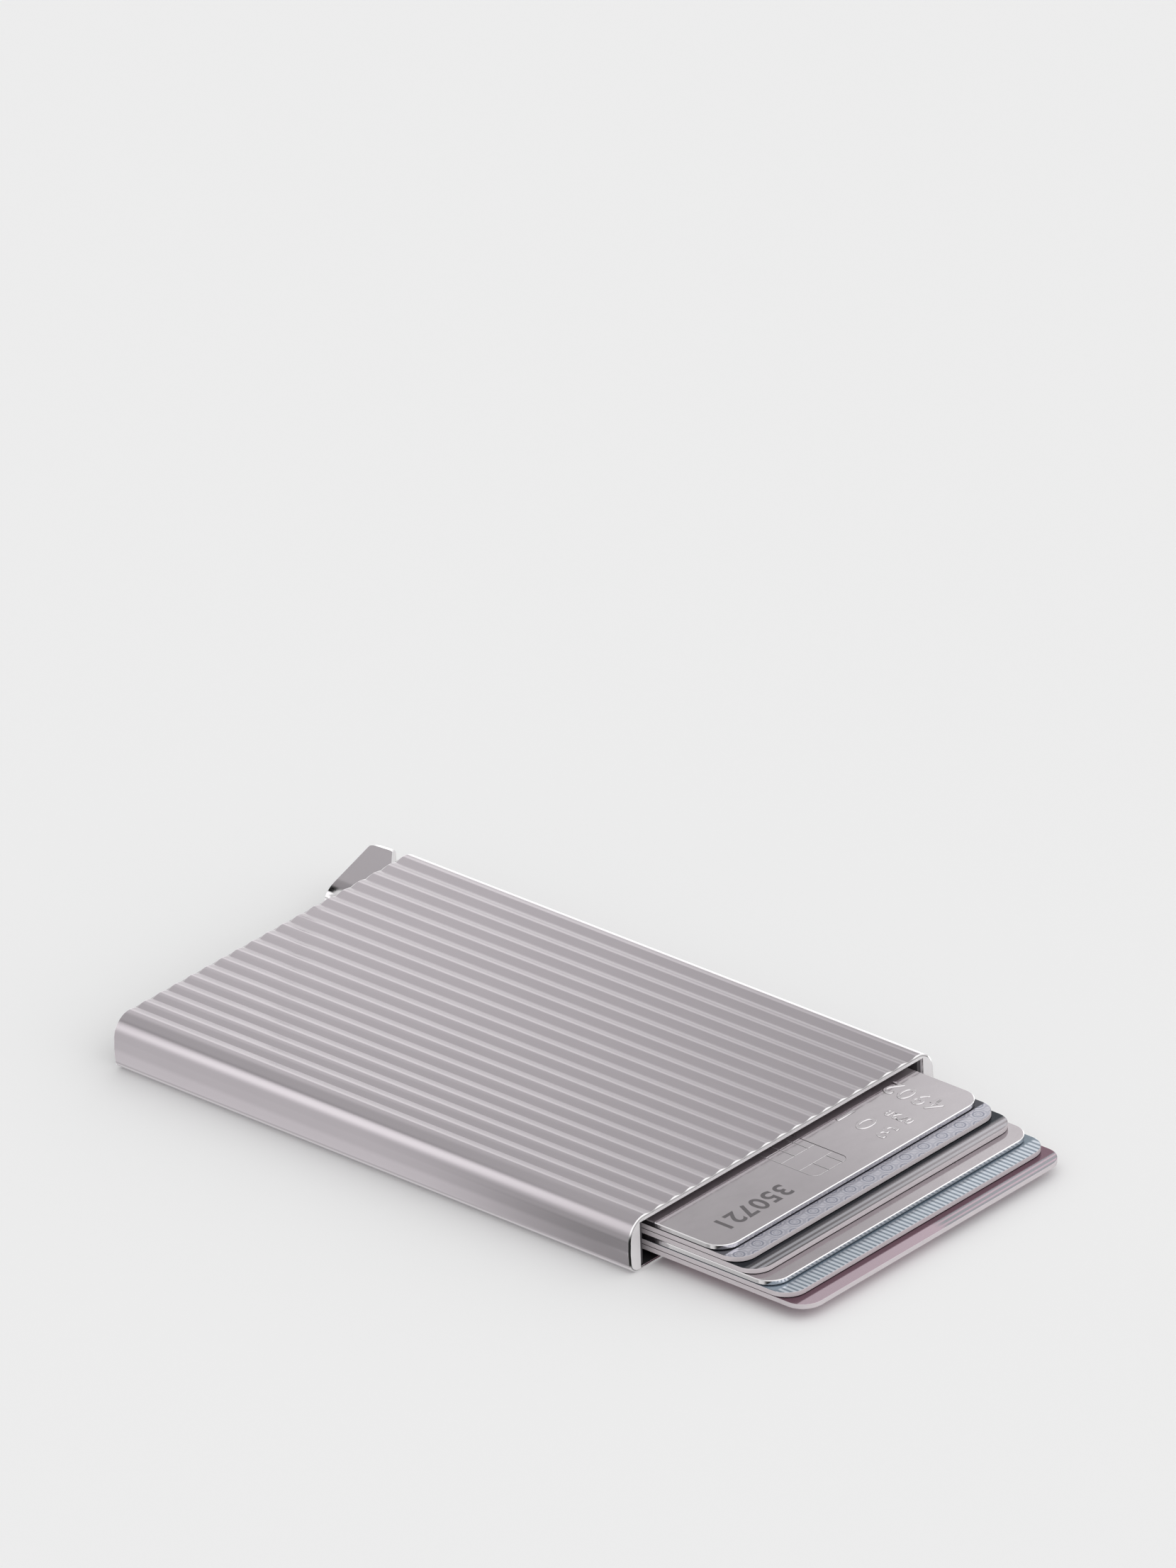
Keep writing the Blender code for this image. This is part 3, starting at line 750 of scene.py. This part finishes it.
def mauve_field(paint):
    """Mauve with thin grey bands across its far half, with painted shade by the card above."""
    x, y, _ = paint.place()
    bands = paint.stripe(paint.plus(y, -front_of("card_6") - 1.9), 0.9, 0.4, 0.15)
    grey = paint.times(bands, paint.ease(x, 0.5, 3.0))
    field = paint.blend(grey, (0.60, 0.47, 0.53), (0.36, 0.36, 0.39))
    # Painted shade: dark beside the card above
    return paint.blend(shaded_by(paint, "card_5", 1.15, 0.85), field, (0.21, 0.12, 0.155))


def finish_cards():
    """Break the cards' edges, but for the chip's pocket, and shade them smooth."""
    low, high = (Vector(corner).xy for corner in box("chip_contact"))
    marks = mark_edges((low + high) / 2, (high - low) / 2 * 1.1)
    smooth = smoothing(19)
    for k in range(1, 7):
        card = nodes["card_%d" % k]
        width, segments = (0.11, 1) if k in METAL_CARDS else (0.09, 2)
        weld(card)
        round_edges(card, width, segments, marks)
        shade_smooth(card, smooth)


dress("card_2", printed("card_grey_blue", ring_lattice))
dress("card_3", printed("card_slate", slate_bands))
dress("card_5", printed("card_light_blue", fine_lines))
dress("card_6", printed("card_mauve", mauve_field))
finish_cards()


# Fine detail: the top card's digits and chip

def piece(name, mesh, material, body="card_1"):
    """A new piece that rides on a body and takes its finish from a slot."""
    made = bpy.data.objects.new(name, mesh)
    bpy.context.scene.collection.objects.link(made)
    mesh.materials.clear()
    mesh.materials.append(material)
    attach(made, body)
    return made


# Ways on the card
REAR, LEFT, TO_MOUTH = (0, 1, 0), (-1, 0, 0), (0, -1, 0)
# A digit's height as a share of its type's size
CAP_SHARE = 0.72


def digits(name, text, cap, at, along, up, height, material, spacing, swell, edge=0.0):
    """A row of plain digits standing on a card, cap mm tall and height mm proud of it.

    It starts at a point, reads along one way and its tops point up another. Its strokes
    are wider by twice the swell than the type's own, and their edge is broken by edge mm.
    """
    curve = bpy.data.curves.new(name, "FONT")
    curve.body = text
    curve.size = cap / CAP_SHARE
    curve.space_character = spacing
    curve.extrude = height
    curve.bevel_depth = edge
    curve.offset = swell - edge
    curve.bevel_resolution = 1
    curve.resolution_u = 6
    source = bpy.data.objects.new(name, curve)
    bpy.context.scene.collection.objects.link(source)
    view = bpy.context.evaluated_depsgraph_get()
    mesh = bpy.data.meshes.new_from_object(source.evaluated_get(view))
    bpy.data.objects.remove(source)
    bpy.data.curves.remove(curve)
    turn = Matrix((Vector(along), Vector(up), Vector(along).cross(Vector(up)))).transposed()
    mesh.transform(Matrix.Translation(Vector(at) * MM) @ turn.to_4x4() @ Matrix.Scale(MM, 4))
    return piece(name, mesh, material)


def etched(name):
    """Darker satin, as burnt into a card's face by a laser."""
    paint = Paint(name)
    grain = paint.noise(12.0, 3.0)
    shade = paint.blend(grain, (0.16, 0.148, 0.156), (0.22, 0.205, 0.213))
    return paint.finish(base_color=shade, roughness=0.42, metallic=1.0)


def number_top_card():
    """Three groups of raised digits along the card's far side, and etched ones across it."""
    top, front = box("card_1")[1][2], front_of("card_1")
    embossed = satin_card("embossed_metal", EMBOSSED_SILVER)
    # Each group's digits, their height, their x and distance from the front, and their spacing
    for name, text, cap, x, from_front, spacing in (
        ("digits_date", "301", 3.5, 13.1, 2.9, 1.5),
        ("digits_small", "0728", 1.5, 16.3, 3.1, 1.15),
        ("digits_row", "4902", 3.2, 22.7, 2.7, 1.15),
    ):
        at = (x, front + from_front, top)
        digits(name, text, cap, at, REAR, LEFT, height=0.03, material=embossed,
               spacing=spacing, swell=0.06, edge=0.11)
    digits("digits_etched", "350721", 3.15, (-8.5, front + 6.0, top), LEFT, TO_MOUTH,
           height=0.008, material=etched("card_etch"), spacing=1.1, swell=0.09)


number_top_card()

# The chip in millimetres. Its pads part at columns and rows counted from its near side and
# from its front, and one row is a single wide pad. They keep within a rim, and the bed lies
# under their tops.
CHIP_CORNER = 1.2
CHIP_EDGE = 0.02
CHIP_COLUMNS = (2.8, 5.55)
CHIP_ROWS = (2.9, 6.1, 8.8)
WIDE_ROW = 1
CHIP_RIM = 0.012
COLUMN_HALF_GAP = 0.075
ROW_HALF_GAP = 0.015
BED_DROP = 0.05
PAD_DEPTH = 0.12


def clipped(outline, axis, limit, sign):
    """The part of a convex outline on one side of a limit along an axis."""
    kept = []
    for i, here in enumerate(outline):
        before = outline[i - 1]
        a, b = (sign * (p[axis] - limit) for p in (before, here))
        if a * b < 0:
            kept.append(before.lerp(here, a / (a - b)))
        if b >= 0:
            kept.append(here)
    return kept


def shrunk(outline, distance):
    """A convex outline moved inward."""
    moved = []
    for i, here in enumerate(outline):
        a = (here - outline[i - 1]).normalized()
        b = (outline[(i + 1) % len(outline)] - here).normalized()
        normal = Vector((-a.y - b.y, a.x + b.x)).normalized()
        moved.append(here + normal * distance / max(normal.dot(Vector((-a.y, a.x))), 0.3))
    return moved


def slab(bm, outline, low, high, edge):
    """A flat body with its upper edge broken."""
    rings = [(outline, low), (outline, high - edge), (shrunk(outline, edge), high)]
    loops = [[bm.verts.new((p.x * MM, p.y * MM, z * MM)) for p in ring] for ring, z in rings]
    for under, over in zip(loops, loops[1:]):
        for i in range(len(under)):
            bm.faces.new((under[i - 1], under[i], over[i], over[i - 1]))
    bm.faces.new(loops[0][::-1])
    bm.faces.new(loops[-1])


def slab_mesh(name, outlines, low, high):
    """A mesh of flat bodies between two heights."""
    bm = bmesh.new()
    for outline in outlines:
        slab(bm, outline, low, high, CHIP_EDGE)
    mesh = bpy.data.meshes.new(name)
    bm.to_mesh(mesh)
    bm.free()
    return mesh


def round_box(low, high, radius, steps=6):
    """A rectangle's outline with round corners, counterclockwise."""
    points = []
    middle = (Vector(low).xy + Vector(high).xy) / 2
    corners = ((high[0], high[1]), (low[0], high[1]), (low[0], low[1]), (high[0], low[1]))
    for turn, (x, y) in enumerate(corners):
        centre = Vector((
            x - math.copysign(radius, x - middle.x), y - math.copysign(radius, y - middle.y)))
        for i in range(steps + 1):
            angle = math.pi / 2 * (turn + i / steps)
            points.append(centre + radius * Vector((math.cos(angle), math.sin(angle))))
    return points


def pad_outlines(outline, low, high):
    """The outlines of the chip's pads, in rows, of which one is a single wide pad."""
    columns = [low[0], *(low[0] + x for x in CHIP_COLUMNS), high[0]]
    rows = [low[1], *(low[1] + y for y in CHIP_ROWS), high[1]]
    pads = []
    for i, (y0, y1) in enumerate(zip(rows, rows[1:])):
        cuts = [columns[0], columns[-1]] if i == WIDE_ROW else columns
        for x0, x1 in zip(cuts, cuts[1:]):
            pad = shrunk(outline, CHIP_RIM)
            pad = clipped(pad, 0, x0 + COLUMN_HALF_GAP, 1)
            pad = clipped(pad, 0, x1 - COLUMN_HALF_GAP, -1)
            pad = clipped(pad, 1, y0 + ROW_HALF_GAP, 1)
            pads.append(clipped(pad, 1, y1 - ROW_HALF_GAP, -1))
    return pads


def chip():
    """The top card's contact chip: metal pads on a dark bed that shows in the gaps."""
    low, high = box("chip_contact")
    outline = round_box(low, high, CHIP_CORNER)
    bed_mesh = slab_mesh("chip_bed", [outline], low[2], high[2] - BED_DROP)
    resin = moulded("chip_resin", (0.16, 0.15, 0.155), 0.4)
    piece("chip_bed", bed_mesh, resin)
    outlines = pad_outlines(outline, low, high)
    pads_mesh = slab_mesh("chip_pads", outlines, high[2] - PAD_DEPTH, high[2])
    pads = piece("chip_pads", pads_mesh, card_metal)
    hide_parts("chip_contact")


chip()

# Round surfaces, shaded smooth below a limit in degrees
for limit, names in ((20, ("housing_tube", "rear_frame", "pivot_pin", "lever_arm")),
                     (13, ("lever_fin",))):
    group = smoothing(limit)
    for name in names:
        weld(nodes[name])
        shade_smooth(nodes[name], group)
